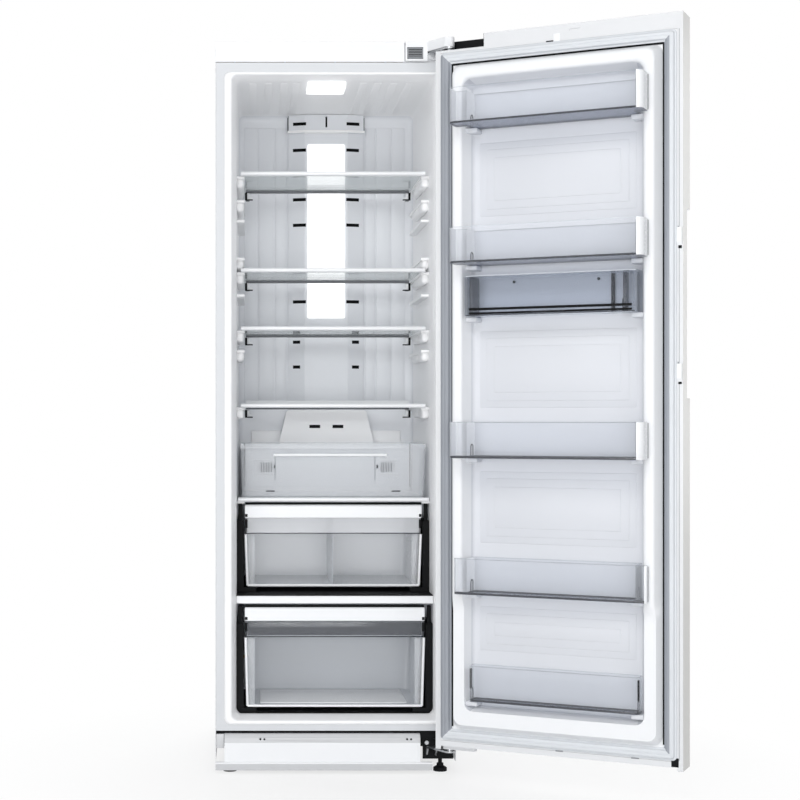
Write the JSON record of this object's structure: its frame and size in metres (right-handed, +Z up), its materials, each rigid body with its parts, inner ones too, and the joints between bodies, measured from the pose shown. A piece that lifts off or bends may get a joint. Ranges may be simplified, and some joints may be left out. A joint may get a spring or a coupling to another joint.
{
  "type": "refrigerator",
  "caption": "Tall white single-door larder refrigerator, door open, with glass shelves, clear drawers, crispers and door baskets.",
  "frame": {"origin": "on the floor below the middle of the cabinet's front plane", "axes": "+X to the right seen from the front, +Y to the back, +Z up"},
  "size_m": [1.0981, 1.0082, 1.809],
  "materials": {
    "white_enamel": "gloss",
    "back_sheet": "satin",
    "zinc_steel": "satin",
    "liner_white": "gloss",
    "trim_white": "gloss",
    "insulation_foam": "matte",
    "hinge_steel": "satin",
    "dark_plastic": "matte",
    "grey_plastic": "satin",
    "compressor_black": "satin",
    "coil_aluminium": "satin",
    "lamp_lens": "gloss",
    "shelf_glass": "polished",
    "clear_plastic": "polished",
    "smoke_plastic": "polished",
    "seal_rubber": "satin"
  },
  "bodies": {
    "cabinet": {"outer_panels": "white_enamel", "front_frame": "white_enamel", "rear_panel": "back_sheet", "machine_cover": "back_sheet", "base_frame": "zinc_steel", "machine_bay": "zinc_steel", "inner_liner": "liner_white", "shelf_ledges": "liner_white", "top_fascia": "trim_white", "kickplate": "trim_white", "upper_hinge_cover": "trim_white", "air_duct_cover": "trim_white", "lower_crisper_cover": "trim_white", "crisper_cover_trim": "trim_white", "cabinet_insulation": "insulation_foam", "upper_hinge": "hinge_steel", "lower_hinge": "hinge_steel", "hinge_screws": "hinge_steel", "drawer_guides": "dark_plastic", "switch_housing": "dark_plastic", "fan_motor": "dark_plastic", "compressor": "compressor_black", "evaporator": "coil_aluminium", "lamp_lenses": "lamp_lens", "crisper_cover_glass": "shelf_glass"},
    "door": {"door_skin": "white_enamel", "door_liner": "liner_white", "door_insulation": "insulation_foam", "door_top_cap": "trim_white", "door_bottom_cap": "trim_white", "door_gasket": "seal_rubber", "grip_insert": "trim_white", "hinge_bushes": "dark_plastic", "dairy_box": "smoke_plastic"},
    "shelf_1": {"shelf_trim_1": "trim_white", "shelf_glass_1": "shelf_glass"},
    "shelf_2": {"shelf_trim_2": "trim_white", "shelf_glass_2": "shelf_glass"},
    "shelf_3": {"shelf_trim_3": "trim_white", "shelf_glass_3": "shelf_glass"},
    "shelf_4": {"shelf_trim_4": "trim_white", "shelf_glass_4": "shelf_glass"},
    "chiller": {"chiller_drawer": "clear_plastic"},
    "upper_crisper": {"upper_crisper_box": "clear_plastic", "upper_crisper_handle": "trim_white", "upper_crisper_divider": "clear_plastic"},
    "lower_crisper": {"lower_crisper_box": "clear_plastic", "lower_crisper_handle": "trim_white"},
    "basket_1": {"door_basket_1": "clear_plastic"},
    "basket_2": {"door_basket_2": "clear_plastic"},
    "basket_3": {"door_basket_3": "clear_plastic"},
    "basket_4": {"door_basket_4": "clear_plastic"},
    "basket_5": {"door_basket_5": "clear_plastic"},
    "flap": {"dairy_flap": "smoke_plastic"},
    "fan": {"fan_rotor": "dark_plastic"},
    "switch": {"switch_plunger": "grey_plastic"},
    "roller_left": {"roller_left": "dark_plastic"},
    "foot_left": {"foot_left": "dark_plastic"},
    "roller_right": {"roller_right": "dark_plastic"},
    "foot_right": {"foot_right": "dark_plastic"}
  },
  "joints": [
    {"name": "door_hinge", "type": "hinge", "parent": "cabinet", "child": "door", "pos_m": [0.2755, -0.05, 0.934], "axis": [0, 0, 1], "range_deg": [-153, 0]},
    {"name": "shelf_1_slide", "type": "slide", "parent": "cabinet", "child": "shelf_1", "axis": [0, -1, 0], "range_m": [0, 0.2]},
    {"name": "shelf_2_slide", "type": "slide", "parent": "cabinet", "child": "shelf_2", "axis": [0, -1, 0], "range_m": [0, 0.2]},
    {"name": "shelf_3_slide", "type": "slide", "parent": "cabinet", "child": "shelf_3", "axis": [0, -1, 0], "range_m": [0, 0.2]},
    {"name": "shelf_4_slide", "type": "slide", "parent": "cabinet", "child": "shelf_4", "axis": [0, -1, 0], "range_m": [0, 0.2]},
    {"name": "chiller_slide", "type": "slide", "parent": "cabinet", "child": "chiller", "axis": [0, -1, 0], "range_m": [0, 0.22]},
    {"name": "upper_crisper_slide", "type": "slide", "parent": "cabinet", "child": "upper_crisper", "axis": [0, -1, 0], "range_m": [0, 0.24]},
    {"name": "lower_crisper_slide", "type": "slide", "parent": "cabinet", "child": "lower_crisper", "axis": [0, -1, 0], "range_m": [0, 0.2]},
    {"name": "basket_1_lift", "type": "slide", "parent": "door", "child": "basket_1", "axis": [0, 0, 1], "range_m": [0, 0.01]},
    {"name": "basket_2_lift", "type": "slide", "parent": "door", "child": "basket_2", "axis": [0, 0, 1], "range_m": [0, 0.01]},
    {"name": "basket_3_lift", "type": "slide", "parent": "door", "child": "basket_3", "axis": [0, 0, 1], "range_m": [0, 0.01]},
    {"name": "basket_4_lift", "type": "slide", "parent": "door", "child": "basket_4", "axis": [0, 0, 1], "range_m": [0, 0.01]},
    {"name": "basket_5_lift", "type": "slide", "parent": "door", "child": "basket_5", "axis": [0, 0, 1], "range_m": [0, 0.01]},
    {"name": "flap_hinge", "type": "hinge", "parent": "door", "child": "flap", "pos_m": [0.47966, -0.25616, 1.207], "axis": [-0.891, 0.454, 0], "range_deg": [0, 85]},
    {"name": "fan_spin", "type": "hinge", "parent": "cabinet", "child": "fan", "pos_m": [0, 0.488, 0.674], "axis": [0, 1, 0], "continuous": true},
    {"name": "switch_press", "type": "slide", "parent": "cabinet", "child": "switch", "axis": [0, 1, 0], "range_m": [0, 0.006], "stiffness_N_per_m": 300},
    {"name": "roller_left_spin", "type": "hinge", "parent": "cabinet", "child": "roller_left", "pos_m": [-0.25, 0.56, 0.01], "axis": [1, 0, 0], "continuous": true},
    {"name": "foot_left_turn", "type": "hinge", "parent": "cabinet", "child": "foot_left", "pos_m": [-0.262, 0.034, 0.05], "axis": [0, 0, 1], "continuous": true},
    {"name": "roller_right_spin", "type": "hinge", "parent": "cabinet", "child": "roller_right", "pos_m": [0.25, 0.56, 0.01], "axis": [1, 0, 0], "continuous": true},
    {"name": "foot_right_turn", "type": "hinge", "parent": "cabinet", "child": "foot_right", "pos_m": [0.262, 0.034, 0.05], "axis": [0, 0, 1], "continuous": true}
  ]
}
